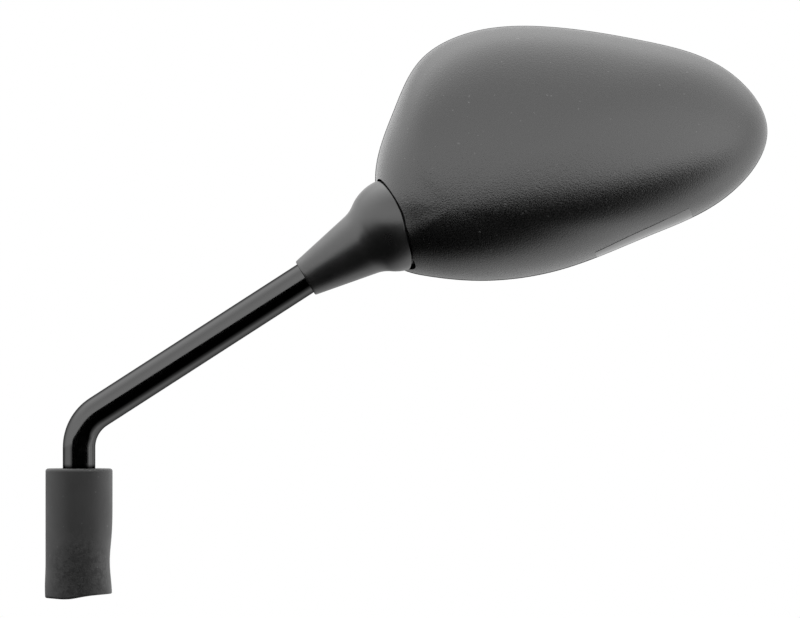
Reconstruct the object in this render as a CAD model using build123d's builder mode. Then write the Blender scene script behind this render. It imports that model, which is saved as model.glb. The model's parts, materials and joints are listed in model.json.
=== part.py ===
from build123d import *
import math
import os

# Left-hand mirror. X runs right along the bar side, Z is up, the glass faces +Y.
# The origin is on the stud axis, at the seat of the plain washer. Millimetres.

# Stem: one bent bar with a threaded stud at its foot and a turned neck at its top
STEM_DIAMETER = 12.0
STEM_CORNER_HEIGHT = 35.7
STEM_ANGLE = 32.8
STEM_REACH = 137.2
STEM_BEND_RADIUS = 15.5
NECK_RADIUS = 3.5
NECK_START = 10.5
NECK_TAPER = 2.5
STUD_RADIUS = 5.0
STUD_LENGTH = 19.5
STUD_CHAMFER = 1.2
GROOVE_DEPTH = 0.7
GROOVE_WIDTH = 1.5

# Lock nut stack on the stud
WASHER_THICKNESS = 2.0
WASHER_RADIUS = 9.5
SPRING_WASHER_THICKNESS = 2.4
SPRING_WASHER_RADIUS = 8.2
NUT_ACROSS_FLATS = 17.0
NUT_THICKNESS = 8.0
NUT_CLEARANCE = 0.05
SHOULDER_GAP = 0.3
WASHER_FIT = 0.25
SPRING_WASHER_SLOT = 1.2
NUT_CHAMFER = 1.0

# Lower sleeve over the nut
SLEEVE_RADIUS = 12.3
SLEEVE_BORE = 10.3
SLEEVE_TOP = 19.5
SLEEVE_ROOF = 4.0
SLEEVE_FOOT = -27.4
SLEEVE_FOOT_SLOPE = 5.0
SLEEVE_CHAMFER = 1.0
SLEEVE_DENT = 0.9
SLEEVE_FIT = 0.1

# Ball joint, centred on the end of the stem
BALL_RADIUS = 7.0
BALL_FIT = 0.05
SPIGOT_LENGTH = 4.5
PIN_RADIUS = 1.25
PIN_LENGTH = 12.0
SEAT_THICKNESS = 0.95
SEAT_OPENING = 44.0
SEAT_EDGE = 85.0
REAR_SEAT_START = 2.0
REAR_SEAT_END = 9.5
SPRING_LENGTH = 4.2
SPRING_WIRE = 1.3
SPRING_RADIUS = 5.6
SPRING_TURNS = 2.0
SPRING_GRIND = 0.15
PLUG_LENGTH = 3.8
PLUG_HEX = 6.0
SOCKET_WALL = 1.95
SOCKET_LENGTH = 24.0
SOCKET_OPENING = 46.0
FOOT_THICKNESS = 3.0
FOOT_LENGTH = 36.0
FOOT_WIDTH = 39.0
FOOT_START = 15.0
FOOT_HOLE_START = 22.0
FOOT_HOLE_PITCH = 22.0
FOOT_HOLE_SPREAD = 15.0
FOOT_CORNER = 5.0
FOOT_GAP = 0.25
SCREW_RADIUS = 1.75
SCREW_LENGTH = 11.0
SCREW_HEAD = 2.2
SCREW_CROSS = 3.6
SCREW_CROSS_WIDTH = 0.8
SCREW_CROSS_DEPTH = 1.0
SCREW_FIT = 0.2

# Cone with the ball-shaped end that fills the housing opening
KNUCKLE_RADIUS = 17.3
KNUCKLE_WALL = 1.6
KNUCKLE_EDGE = 59.0
CONE_LARGE_RADIUS = 12.5
CONE_SMALL_RADIUS = 7.1
CONE_START = 38.5
CONE_GRIP = 9.0
CONE_FIT = 0.05
CONE_FILLET = 12.0
CONE_LEDGE = 1.0
NECK_SAG = 1.8
OPENING_GAP = 0.8

# Flat cut of the housing at the neck: its axis rises and turns to the dome side
OPENING_RISE = 19.4
OPENING_TURN = 14.5
OPENING_OFFSET = 0.75
OPENING_REACH = 25.0

# Head: egg outline, straight band at the glass rim, dome behind
HEAD_WIDTH = 144.5
HEAD_HEIGHT = 93.5
HEAD_DEPTH = 40.5
RIM_Y = 25.0
BAND = 6.0
WALL = 3.0
RIM_WALL = 1.8
RIM_FILLET = 1.0
LEDGE_Y = 18.2

# Bare smooth field moulded into the underside of the dome
FIELD_LENGTH = 38.5
FIELD_WIDTH = 14.2
FIELD_DEPTH = 0.35
FIELD_REACH = 6.0
FIELD_LEAN = 26.3
FIELD_Y = 10.3
FIELD_PLACE = (0.637, -0.039)

# Glass stack in the pocket
GLASS_CURVE = 1400.0
GLASS_FRONT_Y = 24.2
GLASS_THICKNESS = 2.2
PAD_THICKNESS = 0.9
PAD_GAP = 0.15
HOLDER_GAP = 0.3
SEAL_WALL = 1.1
SEAL_LIP = 1.3
SEAL_FRONT_Y = 24.6
PAD_INSET = 9.0
BOSS_RADIUS = 3.4
POST_RADIUS = 4.0
HOLDER_SCREW_RADIUS = 1.45
HOLDER_SCREW_LENGTH = 10.0
HOLDER_SINK = 1.2
HOLDER_WELL = 4.0

# Outline of the head about the ball centre, as parts of its width and height
OUTLINE = [(-0.035, 0.0), (-0.047, 0.192), (0.001, 0.444), (0.070, 0.642), (0.185, 0.743)]
OUTLINE += [(0.392, 0.770), (0.648, 0.711), (0.859, 0.588), (0.953, 0.364), (0.856, 0.107)]
OUTLINE += [(0.652, -0.053), (0.423, -0.184), (0.235, -0.2335), (0.090, -0.213), (0.0, -0.165)]
DOME_FOOT = (0.310, 0.190)
DOME_TOP = (0.150, 0.058)
DOME_STATIONS = [0.0, 0.3, 0.5, 0.7, 0.82, 0.91, 0.97, 0.999]
HOLDER_BOSSES = [(0.111, 0.559), (0.720, 0.473), (0.637, 0.065), (0.249, -0.086)]

# Places worked out from the sizes
turn = math.radians(STEM_ANGLE)
stem_radius = STEM_DIAMETER / 2
ball_x = STEM_REACH * math.cos(turn)
ball_z = STEM_CORNER_HEIGHT + STEM_REACH * math.sin(turn)
ball_centre = (ball_x, 0, ball_z)
along = (math.cos(turn), 0, math.sin(turn))
across = (-math.sin(turn), 0, math.cos(turn))
side_plane = Plane(origin=ball_centre, x_dir=across, z_dir=(0, 1, 0))
end_plane = Plane(origin=ball_centre, x_dir=(0, 1, 0), z_dir=along)
pin_plane = Plane(origin=ball_centre, x_dir=(1, 0, 0), z_dir=(0, -1, 0))
stem_axis = Axis(ball_centre, along)
cone_foot = (ball_x - CONE_START * along[0], 0, ball_z - CONE_START * along[2])
sag_turn = math.radians(STEM_ANGLE - NECK_SAG)
neck_way = (math.cos(sag_turn), 0, math.sin(sag_turn))
neck_across = (-math.sin(sag_turn), 0, math.cos(sag_turn))
neck_centre = (cone_foot[0] + CONE_START * neck_way[0], 0, cone_foot[2] + CONE_START * neck_way[2])
neck_plane = Plane(origin=neck_centre, x_dir=neck_across, z_dir=(0, 1, 0))
neck_axis = Axis(neck_centre, neck_way)
grip_plane = Plane(origin=cone_foot, x_dir=(0, 1, 0), z_dir=along)
cut_rise = math.radians(OPENING_RISE)
cut_turn = math.radians(OPENING_TURN)
cut_flat = math.cos(cut_turn)
cut_way = (-cut_flat * math.cos(cut_rise), -math.sin(cut_turn), -cut_flat * math.sin(cut_rise))
opening_plane = Plane(origin=ball_centre, z_dir=cut_way)
nut_foot = WASHER_THICKNESS + SPRING_WASHER_THICKNESS
nut_top = nut_foot + NUT_THICKNESS
shoulder = nut_top + SHOULDER_GAP
neck_end = NECK_START + NECK_TAPER
seat_inner = BALL_RADIUS + BALL_FIT
seat_outer = seat_inner + SEAT_THICKNESS
socket_inner = seat_outer + BALL_FIT
socket_outer = socket_inner + SOCKET_WALL
plug_start = REAR_SEAT_END + SPRING_LENGTH
dome_y = RIM_Y - BAND
foot_y = socket_inner + FOOT_GAP
foot_plane = Plane(origin=(ball_x, foot_y, ball_z), x_dir=along, z_dir=(0, 1, 0))
glass_x = ball_x + HEAD_WIDTH * 0.45
glass_z = ball_z + HEAD_HEIGHT * 0.27
glass_centre = (glass_x, GLASS_FRONT_Y - GLASS_CURVE, glass_z)
back_curve = GLASS_CURVE - GLASS_THICKNESS
holder_curve = back_curve - PAD_THICKNESS
holder_inset = RIM_WALL + HOLDER_GAP
glass_inset = holder_inset + SEAL_WALL
lip_inset = glass_inset + SEAL_LIP
on_top = (Align.CENTER, Align.CENTER, Align.MIN)
below = (Align.CENTER, Align.CENTER, Align.MAX)


def head_outline(inset):
    """Outline points moved inward along the normal of each point's two neighbours."""
    points = [(ball_x + HEAD_WIDTH * u, ball_z + HEAD_HEIGHT * v) for u, v in OUTLINE]
    moved = []
    for i, (x, z) in enumerate(points):
        before = points[i - 1]
        after = points[(i + 1) % len(points)]
        dx = after[0] - before[0]
        dz = after[1] - before[1]
        size = math.hypot(dx, dz)
        moved.append((x + inset * dz / size, z - inset * dx / size))
    return moved


def dome_section(inset, part_depth):
    """Rim outline shrunk like a circle section, about a centre that drifts to the neck."""
    shrink = math.sqrt(1 - part_depth**2)
    foot = (ball_x + HEAD_WIDTH * DOME_FOOT[0], ball_z + HEAD_HEIGHT * DOME_FOOT[1])
    top = (ball_x + HEAD_WIDTH * DOME_TOP[0], ball_z + HEAD_HEIGHT * DOME_TOP[1])
    x0 = foot[0] + (top[0] - foot[0]) * part_depth**2
    z0 = foot[1] + (top[1] - foot[1]) * part_depth**2
    rim = head_outline(inset)
    return [(x0 + (x - foot[0]) * shrink, z0 + (z - foot[1]) * shrink) for x, z in rim]


def head_dome(inset):
    """Solid dome behind the band, set in by the given wall."""
    with BuildPart() as dome:
        for station in DOME_STATIONS:
            depth = (HEAD_DEPTH - inset) * station
            with BuildSketch(Plane.XZ.offset(depth - dome_y)):
                with BuildLine():
                    Spline(*dome_section(inset, station), periodic=True)
                make_face()
        loft()
    return dome.part


def head_prism(inset, back_y, front_y):
    """Straight prism over the head outline, set in by the given wall."""
    with BuildPart() as prism:
        with BuildSketch(Plane.XZ.offset(-front_y)):
            with BuildLine():
                Spline(*head_outline(inset), periodic=True)
            make_face()
        extrude(amount=front_y - back_y)
    return prism.part


def facing_front(x, y, z):
    """Plane at a point, looking out to the glass side."""
    return Plane(origin=(x, y, z), x_dir=(1, 0, 0), z_dir=(0, 1, 0))


def foot_points(level):
    """The four screw places of the socket foot, at a height above the foot's seat."""
    spots = []
    for a in (FOOT_HOLE_START, FOOT_HOLE_START + FOOT_HOLE_PITCH):
        for b in (-FOOT_HOLE_SPREAD, FOOT_HOLE_SPREAD):
            x = ball_x + a * along[0] + b * across[0]
            z = ball_z + a * along[2] + b * across[2]
            spots.append(facing_front(x, foot_y + level, z))
    return spots


def boss_points(y):
    """The four screw places of the glass holder, at a depth."""
    return [facing_front(ball_x + HEAD_WIDTH * u, y, ball_z + HEAD_HEIGHT * v) for u, v in HOLDER_BOSSES]


# Stem with stud, groove, bend and turned neck
with BuildPart() as stem_rod:
    with BuildLine(Plane.XZ) as stem_path:
        top_x = ball_x - neck_end * along[0]
        top_z = ball_z - neck_end * along[2]
        FilletPolyline((0, shoulder), (0, STEM_CORNER_HEIGHT), (top_x, top_z), radius=STEM_BEND_RADIUS)
    with BuildSketch(Plane.XY.offset(shoulder)):
        Circle(stem_radius)
    sweep(path=stem_path.line)
    with BuildSketch(Plane.XZ):
        with BuildLine():
            Polyline(
                (0, -STUD_LENGTH),
                (STUD_RADIUS - STUD_CHAMFER, -STUD_LENGTH),
                (STUD_RADIUS, STUD_CHAMFER - STUD_LENGTH),
                (STUD_RADIUS, 0),
                (STUD_RADIUS - GROOVE_DEPTH, 0),
                (STUD_RADIUS - GROOVE_DEPTH, GROOVE_WIDTH),
                (STUD_RADIUS, GROOVE_WIDTH),
                (STUD_RADIUS, shoulder),
                (0, shoulder),
                close=True,
            )
        make_face()
    revolve(axis=Axis.Z)
    with BuildSketch(side_plane):
        with BuildLine():
            Polyline(
                (0, -neck_end),
                (stem_radius, -neck_end),
                (NECK_RADIUS, -NECK_START),
                (NECK_RADIUS, SPIGOT_LENGTH),
                (0, SPIGOT_LENGTH),
                close=True,
            )
        make_face()
    revolve(axis=stem_axis)
    with BuildSketch(pin_plane):
        Circle(PIN_RADIUS)
    extrude(amount=STEM_DIAMETER, both=True, mode=Mode.SUBTRACT)

# Ball with a blind bore for the stem's spigot and a cross hole for its pin
with BuildPart() as pivot_ball:
    with Locations(ball_centre):
        Sphere(BALL_RADIUS)
    with BuildSketch(end_plane.offset(SPIGOT_LENGTH)):
        Circle(NECK_RADIUS)
    extrude(amount=-2 * BALL_RADIUS, mode=Mode.SUBTRACT)
    with BuildSketch(pin_plane):
        Circle(PIN_RADIUS)
    extrude(amount=2 * BALL_RADIUS, both=True, mode=Mode.SUBTRACT)

with BuildPart() as ball_pin:
    with BuildSketch(pin_plane):
        Circle(PIN_RADIUS)
    extrude(amount=PIN_LENGTH / 2, both=True)

# Nut stack
with BuildPart() as plain_washer:
    with BuildSketch(Plane.XY):
        Circle(WASHER_RADIUS)
        Circle(STUD_RADIUS + WASHER_FIT, mode=Mode.SUBTRACT)
    extrude(amount=WASHER_THICKNESS)

with BuildPart() as spring_washer:
    with BuildSketch(Plane.XY.offset(WASHER_THICKNESS)):
        Circle(SPRING_WASHER_RADIUS)
        Circle(STUD_RADIUS + WASHER_FIT, mode=Mode.SUBTRACT)
        with Locations((SPRING_WASHER_RADIUS, 0)):
            Rectangle(1.5 * SPRING_WASHER_RADIUS, SPRING_WASHER_SLOT, rotation=20, mode=Mode.SUBTRACT)
    extrude(amount=SPRING_WASHER_THICKNESS)

with BuildPart() as lock_nut:
    with BuildSketch(Plane.XY.offset(nut_foot)):
        RegularPolygon(NUT_ACROSS_FLATS / 2, 6, major_radius=False)
        Circle(STUD_RADIUS + NUT_CLEARANCE, mode=Mode.SUBTRACT)
    extrude(amount=NUT_THICKNESS)
    with BuildSketch(Plane.XZ):
        with BuildLine():
            corner = NUT_ACROSS_FLATS * 0.6
            Polyline(
                (0, nut_foot),
                (NUT_ACROSS_FLATS / 2, nut_foot),
                (corner, nut_foot + NUT_CHAMFER),
                (corner, nut_top - NUT_CHAMFER),
                (NUT_ACROSS_FLATS / 2, nut_top),
                (0, nut_top),
                close=True,
            )
        make_face()
    revolve(axis=Axis.Z, mode=Mode.INTERSECT)

# Lower sleeve: chamfered top, slanted foot and a shallow dent on the right
with BuildPart() as nut_boot:
    with BuildSketch(Plane.XZ):
        with BuildLine():
            foot_z = SLEEVE_FOOT - SLEEVE_RADIUS
            Polyline(
                (SLEEVE_BORE, foot_z),
                (SLEEVE_RADIUS, foot_z),
                (SLEEVE_RADIUS, SLEEVE_TOP - SLEEVE_CHAMFER),
                (SLEEVE_RADIUS - SLEEVE_CHAMFER, SLEEVE_TOP),
                (stem_radius + SLEEVE_FIT, SLEEVE_TOP),
                (stem_radius + SLEEVE_FIT, SLEEVE_TOP - SLEEVE_ROOF),
                (SLEEVE_BORE, SLEEVE_TOP - SLEEVE_ROOF),
                close=True,
            )
        make_face()
    revolve(axis=Axis.Z)
    lean = math.radians(SLEEVE_FOOT_SLOPE)
    split(bisect_by=Plane(origin=(0, 0, SLEEVE_FOOT), z_dir=(-math.sin(lean), 0, math.cos(lean))))
    dent_radius = 5 * SLEEVE_RADIUS
    with BuildSketch(Plane.XZ):
        with Locations((SLEEVE_RADIUS - SLEEVE_DENT + dent_radius, SLEEVE_FOOT / 2)):
            Circle(dent_radius)
    extrude(amount=2 * SLEEVE_RADIUS, both=True, mode=Mode.SUBTRACT)

# Soft cone that grips the stem, sags a little and ends in a hollow ball shape round the joint
with BuildPart() as neck_boot:
    knuckle_inner = KNUCKLE_RADIUS - KNUCKLE_WALL
    cone_inner = CONE_LARGE_RADIUS - KNUCKLE_WALL
    edge_angle = 90 - KNUCKLE_EDGE
    outer_drop = math.degrees(math.acos(CONE_LARGE_RADIUS / KNUCKLE_RADIUS))
    inner_drop = math.degrees(math.acos(cone_inner / knuckle_inner))
    bore = stem_radius + CONE_FIT
    with BuildSketch(neck_plane) as boot_half:
        with BuildLine():
            outer_arc = CenterArc((0, 0), KNUCKLE_RADIUS, -outer_drop, outer_drop + edge_angle)
            inner_arc = CenterArc((0, 0), knuckle_inner, -inner_drop, inner_drop + edge_angle)
            Line(outer_arc @ 1, inner_arc @ 1)
            Polyline(
                outer_arc @ 0,
                (CONE_SMALL_RADIUS, -CONE_START),
                (0, -CONE_START),
                (0, CONE_GRIP - CONE_START),
                (bore + CONE_LEDGE, CONE_GRIP - CONE_START),
                inner_arc @ 0,
            )
            waist = outer_arc @ 0
        make_face()
        fillet(boot_half.vertices().sort_by_distance(waist)[0], CONE_FILLET)
    revolve(axis=neck_axis)
    with BuildSketch(grip_plane):
        Circle(bore)
    extrude(amount=CONE_START / 2, both=True, mode=Mode.SUBTRACT)

# Slip ring on the stem side of the ball, round on both faces
with BuildPart() as front_seat:
    with BuildSketch(side_plane):
        with BuildLine():
            start = SEAT_OPENING - 90
            sweep_angle = SEAT_EDGE - SEAT_OPENING
            ring_in = CenterArc((0, 0), seat_inner, start, sweep_angle)
            ring_out = CenterArc((0, 0), seat_outer, start, sweep_angle)
            Line(ring_in @ 0, ring_out @ 0)
            Line(ring_in @ 1, ring_out @ 1)
        make_face()
    revolve(axis=stem_axis)

# Slip cup on the spring side of the ball
with BuildPart() as rear_seat:
    with BuildSketch(end_plane.offset(REAR_SEAT_START)):
        Circle(socket_inner - BALL_FIT)
    extrude(amount=REAR_SEAT_END - REAR_SEAT_START)
    with Locations(ball_centre):
        Sphere(seat_inner, mode=Mode.SUBTRACT)

# Coil spring with flat ground ends, between the cup and the plug
with BuildPart() as pressure_spring:
    wire = SPRING_WIRE / 2
    rise = SPRING_LENGTH - 2 * wire + 2 * SPRING_GRIND
    coil_start = end_plane.offset(REAR_SEAT_END + wire - SPRING_GRIND).origin
    with BuildLine() as coil:
        Helix(rise / SPRING_TURNS, rise, SPRING_RADIUS, center=coil_start, direction=along)
    with BuildSketch(Plane(origin=coil.line @ 0, z_dir=coil.line % 0)):
        Circle(wire)
    sweep(path=coil.line, is_frenet=True)
    with BuildSketch(end_plane.offset(REAR_SEAT_END)):
        Circle(socket_inner)
    extrude(amount=SPRING_LENGTH, mode=Mode.INTERSECT)

with BuildPart() as socket_plug:
    with BuildSketch(end_plane.offset(plug_start)):
        Circle(socket_inner - 2 * BALL_FIT)
    extrude(amount=PLUG_LENGTH)
    with BuildSketch(end_plane.offset(plug_start + PLUG_LENGTH)):
        RegularPolygon(PLUG_HEX / 2, 6, major_radius=False)
    extrude(amount=-PLUG_LENGTH * 0.65, mode=Mode.SUBTRACT)

# Cast socket: round lip, straight bore and a foot plate with four holes
with BuildPart() as socket_bracket:
    with BuildSketch(side_plane):
        with BuildLine():
            lip = SOCKET_OPENING - 90
            bowl_in = CenterArc((0, 0), socket_inner, lip, -lip)
            bowl_out = CenterArc((0, 0), socket_outer, lip, -lip)
            Line(bowl_in @ 0, bowl_out @ 0)
            Polyline(
                (socket_inner, 0),
                (socket_inner, SOCKET_LENGTH),
                (socket_outer, SOCKET_LENGTH),
                (socket_outer, 0),
            )
        make_face()
    revolve(axis=stem_axis)
    with BuildSketch(foot_plane):
        with Locations((FOOT_START + FOOT_LENGTH / 2, 0)):
            RectangleRounded(FOOT_LENGTH, FOOT_WIDTH, FOOT_CORNER)
    extrude(amount=FOOT_THICKNESS)
    with Locations(*foot_points(FOOT_THICKNESS)):
        Hole(SCREW_RADIUS + SCREW_FIT, 2 * FOOT_THICKNESS)

with BuildPart() as bracket_screws:
    with Locations(*foot_points(FOOT_THICKNESS)):
        Cylinder(2 * SCREW_RADIUS, SCREW_HEAD, align=on_top)
        Cylinder(SCREW_RADIUS, SCREW_LENGTH, align=below)
    with Locations(*foot_points(FOOT_THICKNESS + SCREW_HEAD)):
        Box(SCREW_CROSS, SCREW_CROSS_WIDTH, 2 * SCREW_CROSS_DEPTH, mode=Mode.SUBTRACT)
        Box(SCREW_CROSS_WIDTH, SCREW_CROSS, 2 * SCREW_CROSS_DEPTH, mode=Mode.SUBTRACT)

# Field on the underside: a block less the dome that is set in by the field's depth
with BuildPart() as field_block:
    field_lean = math.radians(FIELD_LEAN)
    field_spot = (ball_x + HEAD_WIDTH * FIELD_PLACE[0], FIELD_Y, ball_z + HEAD_HEIGHT * FIELD_PLACE[1])
    field_way = (math.cos(field_lean), 0, math.sin(field_lean))
    with Locations(Plane(origin=field_spot, x_dir=field_way, z_dir=(field_way[2], 0, -field_way[0]))):
        Box(FIELD_LENGTH, FIELD_WIDTH, 2 * FIELD_REACH)
    add(head_dome(FIELD_DEPTH), mode=Mode.SUBTRACT)

# Posts that carry the socket and the glass holder, trimmed inside the wall
with BuildPart() as head_posts:
    with Locations(*foot_points(0)):
        Cylinder(POST_RADIUS, 2 * HEAD_DEPTH, align=below)
    with Locations(*boss_points(LEDGE_Y)):
        Cylinder(BOSS_RADIUS, 2 * HEAD_DEPTH, align=below)
    add(head_dome(WALL / 2), mode=Mode.INTERSECT)

# Shell: band and dome, hollowed, with pocket, posts and the round neck opening
with BuildPart() as housing_shell:
    add(head_prism(0, dome_y, RIM_Y))
    add(head_dome(0))
    fillet(housing_shell.edges().group_by(Axis.Y)[-1], RIM_FILLET)
    add(head_dome(WALL), mode=Mode.SUBTRACT)
    add(head_prism(RIM_WALL, LEDGE_Y, RIM_Y + BAND), mode=Mode.SUBTRACT)
    add(head_posts.part)
    with Locations(*foot_points(0)):
        Hole(SCREW_RADIUS, SCREW_LENGTH)
    with Locations(*boss_points(LEDGE_Y)):
        Hole(HOLDER_SCREW_RADIUS, HOLDER_SCREW_LENGTH)
    with Locations(neck_centre):
        Sphere(KNUCKLE_RADIUS + OPENING_GAP, mode=Mode.SUBTRACT)
    with BuildSketch(opening_plane.offset(OPENING_OFFSET)):
        Circle(OPENING_REACH)
    extrude(amount=2 * OPENING_REACH, mode=Mode.SUBTRACT)
    add(field_block.part, mode=Mode.SUBTRACT)

# Convex glass, its pad, its holder and the seal round it
with BuildPart() as mirror_glass:
    add(head_prism(glass_inset, LEDGE_Y, RIM_Y))
    with Locations(glass_centre):
        Sphere(GLASS_CURVE, mode=Mode.INTERSECT)
    with Locations(glass_centre):
        Sphere(back_curve, mode=Mode.SUBTRACT)

with BuildPart() as glass_pad:
    add(head_prism(PAD_INSET, LEDGE_Y, RIM_Y))
    with Locations(glass_centre):
        Sphere(back_curve - PAD_GAP, mode=Mode.INTERSECT)
    with Locations(glass_centre):
        Sphere(holder_curve + PAD_GAP, mode=Mode.SUBTRACT)

with BuildPart() as holder_screws:
    with Locations(*boss_points(LEDGE_Y)):
        Cylinder(HOLDER_SCREW_RADIUS, HOLDER_SCREW_LENGTH, align=below)
        Cone(HOLDER_SCREW_RADIUS, 2 * HOLDER_SCREW_RADIUS, HOLDER_SINK, align=on_top)

with BuildPart() as glass_holder:
    add(head_prism(holder_inset, LEDGE_Y, RIM_Y))
    with Locations(glass_centre):
        Sphere(holder_curve, mode=Mode.INTERSECT)
    with Locations(*boss_points(LEDGE_Y)):
        Cone(HOLDER_SCREW_RADIUS, 2 * HOLDER_SCREW_RADIUS, HOLDER_SINK, align=on_top, mode=Mode.SUBTRACT)
    with Locations(*boss_points(LEDGE_Y + HOLDER_SINK)):
        Cylinder(2 * HOLDER_SCREW_RADIUS, HOLDER_WELL, align=on_top, mode=Mode.SUBTRACT)

with BuildPart() as glass_seal:
    add(head_prism(holder_inset, LEDGE_Y, SEAL_FRONT_Y))
    add(head_prism(lip_inset, LEDGE_Y - BAND, SEAL_FRONT_Y + BAND), mode=Mode.SUBTRACT)
    with Locations(glass_centre):
        Sphere(holder_curve, mode=Mode.SUBTRACT)
    add(mirror_glass.part, mode=Mode.SUBTRACT)

# One file per piece
os.makedirs("parts", exist_ok=True)
stem_rod.part.label = "stem_rod"
export_step(stem_rod.part, "parts/stem_rod.step")
pivot_ball.part.label = "pivot_ball"
export_step(pivot_ball.part, "parts/pivot_ball.step")
ball_pin.part.label = "ball_pin"
export_step(ball_pin.part, "parts/ball_pin.step")
plain_washer.part.label = "plain_washer"
export_step(plain_washer.part, "parts/plain_washer.step")
spring_washer.part.label = "spring_washer"
export_step(spring_washer.part, "parts/spring_washer.step")
lock_nut.part.label = "lock_nut"
export_step(lock_nut.part, "parts/lock_nut.step")
nut_boot.part.label = "nut_boot"
export_step(nut_boot.part, "parts/nut_boot.step")
neck_boot.part.label = "neck_boot"
export_step(neck_boot.part, "parts/neck_boot.step")
front_seat.part.label = "front_seat"
export_step(front_seat.part, "parts/front_seat.step")
rear_seat.part.label = "rear_seat"
export_step(rear_seat.part, "parts/rear_seat.step")
pressure_spring.part.label = "pressure_spring"
export_step(pressure_spring.part, "parts/pressure_spring.step")
socket_plug.part.label = "socket_plug"
export_step(socket_plug.part, "parts/socket_plug.step")
socket_bracket.part.label = "socket_bracket"
export_step(socket_bracket.part, "parts/socket_bracket.step")
bracket_screws.part.label = "bracket_screws"
export_step(bracket_screws.part, "parts/bracket_screws.step")
housing_shell.part.label = "housing_shell"
export_step(housing_shell.part, "parts/housing_shell.step")
mirror_glass.part.label = "mirror_glass"
export_step(mirror_glass.part, "parts/mirror_glass.step")
glass_pad.part.label = "glass_pad"
export_step(glass_pad.part, "parts/glass_pad.step")
holder_screws.part.label = "holder_screws"
export_step(holder_screws.part, "parts/holder_screws.step")
glass_holder.part.label = "glass_holder"
export_step(glass_holder.part, "parts/glass_holder.step")
glass_seal.part.label = "glass_seal"
export_step(glass_seal.part, "parts/glass_seal.step")
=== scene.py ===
import json
import math

import bpy
import numpy as np
from bpy.props import FloatProperty, FloatVectorProperty, PointerProperty
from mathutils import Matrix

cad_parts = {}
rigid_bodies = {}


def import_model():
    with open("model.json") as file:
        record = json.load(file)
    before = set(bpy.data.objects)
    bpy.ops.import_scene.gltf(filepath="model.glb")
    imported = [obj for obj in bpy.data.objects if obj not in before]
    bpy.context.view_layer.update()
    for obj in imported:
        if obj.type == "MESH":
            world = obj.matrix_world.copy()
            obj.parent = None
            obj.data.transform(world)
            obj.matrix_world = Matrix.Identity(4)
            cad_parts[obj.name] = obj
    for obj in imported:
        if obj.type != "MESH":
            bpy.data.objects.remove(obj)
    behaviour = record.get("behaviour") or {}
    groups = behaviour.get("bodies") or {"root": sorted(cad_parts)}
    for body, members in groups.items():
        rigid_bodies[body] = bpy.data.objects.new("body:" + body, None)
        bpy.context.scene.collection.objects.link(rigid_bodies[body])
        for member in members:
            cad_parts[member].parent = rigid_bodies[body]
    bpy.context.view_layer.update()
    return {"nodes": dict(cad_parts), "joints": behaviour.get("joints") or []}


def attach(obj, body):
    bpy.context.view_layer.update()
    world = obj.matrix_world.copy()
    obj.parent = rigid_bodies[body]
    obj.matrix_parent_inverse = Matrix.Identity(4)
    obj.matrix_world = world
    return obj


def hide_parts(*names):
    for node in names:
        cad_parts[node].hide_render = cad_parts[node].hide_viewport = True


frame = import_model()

bl_info = {
    "name": "Motorcycle mirror",
    "version": (1, 0, 0),
    "blender": (4, 5, 0),
    "location": "3D View > Sidebar > Mirror",
    "description": "Dresses the packed mirror: moulded housing, painted stem, covers and glass",
    "category": "Object",
}

MM = 0.001
JOINT = next(j for j in frame["joints"] if j["name"] == "mirror_tilt")
BALL = np.array(JOINT["pos_m"]) / MM
ALONG = np.array(JOINT["axis"])
RIGHT, DEPTH, UPRIGHT = np.eye(3)

# Lengths from here on are millimetres. Edges over this many degrees stay crisp.
SHARP_ANGLE = 35.0

# The neck cover grips the stem at its foot and sags by some degrees towards its ball end, whose lip
# ends some degrees past the widest place
COVER_BALL = 17.3
COVER_WALL = 1.6
COVER_EDGE = 31.0
COVER_BORE = 6.05
COVER_EASE = 0.3
COVER_GRIP = 9.0
COVER_COLUMNS = 240
CONE_START = 38.5
CONE_LARGE = 12.5
CONE_SMALL = 7.1
CONE_SOFT = 12.0
NECK_SAG = 1.8
NECK_RISE = math.atan2(ALONG[2], ALONG[0]) - math.radians(NECK_SAG)
NECK_WAY = np.array([math.cos(NECK_RISE), 0.0, math.sin(NECK_RISE)])
NECK_ACROSS = np.array([-math.sin(NECK_RISE), 0.0, math.cos(NECK_RISE)])
NECK = BALL + CONE_START * (NECK_WAY - ALONG)

# Recess of the cover behind the housing's edge: heights, with its start past the flat and its depth there
RECESS_START = ((97.5, 101, 106, 113, 119, 125), (-0.15, 0.3, 0.4, -0.2, -0.1, 0.3))
RECESS_DEPTH = ((97, 101, 108, 114, 125), (1.4, 1.1, 0.8, 0.6, 0.5))
RECESS_EASE = 0.4

# Egg outline of the head about the ball centre, as parts of its width and height, and the dome over it
HEAD_COLUMNS = 400
HEAD_SPAN = np.array([144.5, 93.5])
OUTLINE = np.array([
    (-0.035, 0.0), (-0.047, 0.192), (0.001, 0.444), (0.070, 0.642), (0.185, 0.743),
    (0.392, 0.770), (0.648, 0.711), (0.859, 0.588), (0.953, 0.364), (0.856, 0.108),
    (0.652, -0.0545), (0.423, -0.190), (0.235, -0.232), (0.090, -0.215), (0.0, -0.165),
])
DOME_FOOT = BALL[[0, 2]] + HEAD_SPAN * (0.310, 0.190)
DOME_TOP = BALL[[0, 2]] + HEAD_SPAN * (0.150, 0.058)
DOME_DEPTH = 40.5
DOME_Y = 19.0
RIM_Y = 25.0
RIM_ROUND = 1.0
RIM_WALL = 1.8
WALL = 3.0
LEDGE_Y = 18.2
RIM_LIP = 0.25
LIP_Y = 21.3

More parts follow.
